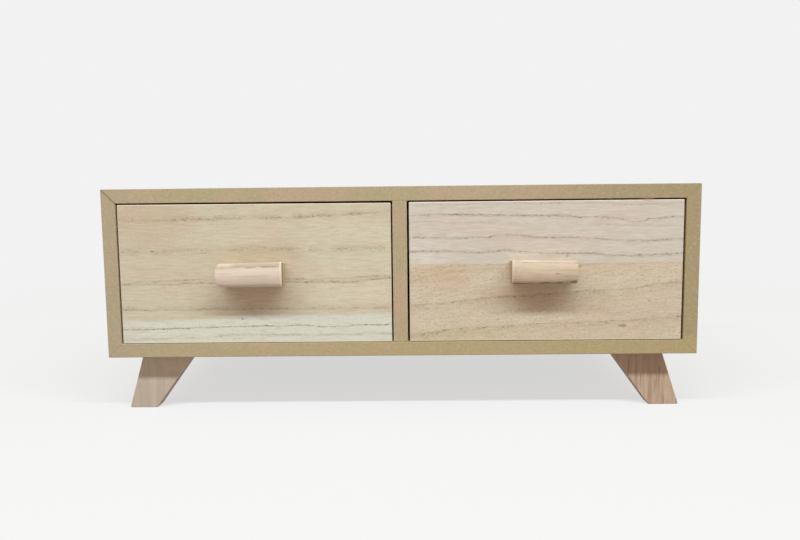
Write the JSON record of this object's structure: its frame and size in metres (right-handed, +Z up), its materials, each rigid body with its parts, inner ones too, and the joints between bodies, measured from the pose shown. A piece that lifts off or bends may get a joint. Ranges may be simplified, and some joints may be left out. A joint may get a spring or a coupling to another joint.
{
  "type": "desktop mini drawers",
  "caption": "Low desktop organizer for crafts and small parts: a mitred fibreboard case on splayed wooden legs, with wooden drawers side by side that slide out by dowel handles.",
  "frame": {"origin": "on the floor, at the centre of the whole object's footprint, handles included", "axes": "+Z up, +X to the right of someone who faces the drawers, and the drawers open towards -Y"},
  "size_m": [0.37, 0.2124, 0.141],
  "materials": {
    "fibreboard": "bare sawn fibreboard, khaki tan",
    "thin_panel": "bare thin fibreboard",
    "leg_wood": "bare sawn softwood, pinkish",
    "drawer_wood": "bare planed light wood with fine pores",
    "grey_drawer_wood": "bare planed light wood, greyer",
    "handle_wood": "bare sanded dowel, pale peach",
    "steel": "bright zinc-plated"
  },
  "bodies": {
    "case": {"top_board": "fibreboard", "bottom_board": "fibreboard", "left_side_board": "fibreboard", "right_side_board": "fibreboard", "centre_divider": "fibreboard", "back_panel": "thin_panel", "front_left_leg": "leg_wood", "front_right_leg": "leg_wood", "rear_left_leg": "leg_wood", "rear_right_leg": "leg_wood", "case_pins": "steel", "back_panel_pins": "steel", "leg_screws": "steel"},
    "left_drawer": {"left_front_board": "drawer_wood", "left_drawer_left_side": "drawer_wood", "left_drawer_right_side": "drawer_wood", "left_drawer_back": "drawer_wood", "left_drawer_bottom": "thin_panel", "left_handle": "handle_wood", "left_handle_screws": "steel", "left_drawer_pins": "steel"},
    "right_drawer": {"right_front_upper_board": "grey_drawer_wood", "right_front_lower_board": "drawer_wood", "right_drawer_left_side": "drawer_wood", "right_drawer_right_side": "drawer_wood", "right_drawer_back": "drawer_wood", "right_drawer_bottom": "thin_panel", "right_handle": "handle_wood", "right_handle_screws": "steel", "right_drawer_pins": "steel"}
  },
  "joints": [
    {"name": "left_drawer_slide", "type": "slide", "parent": "case", "child": "left_drawer", "axis": [0, -1, 0], "range_m": [0, 0.15]},
    {"name": "right_drawer_slide", "type": "slide", "parent": "case", "child": "right_drawer", "axis": [0, -1, 0], "range_m": [0, 0.15]}
  ]
}
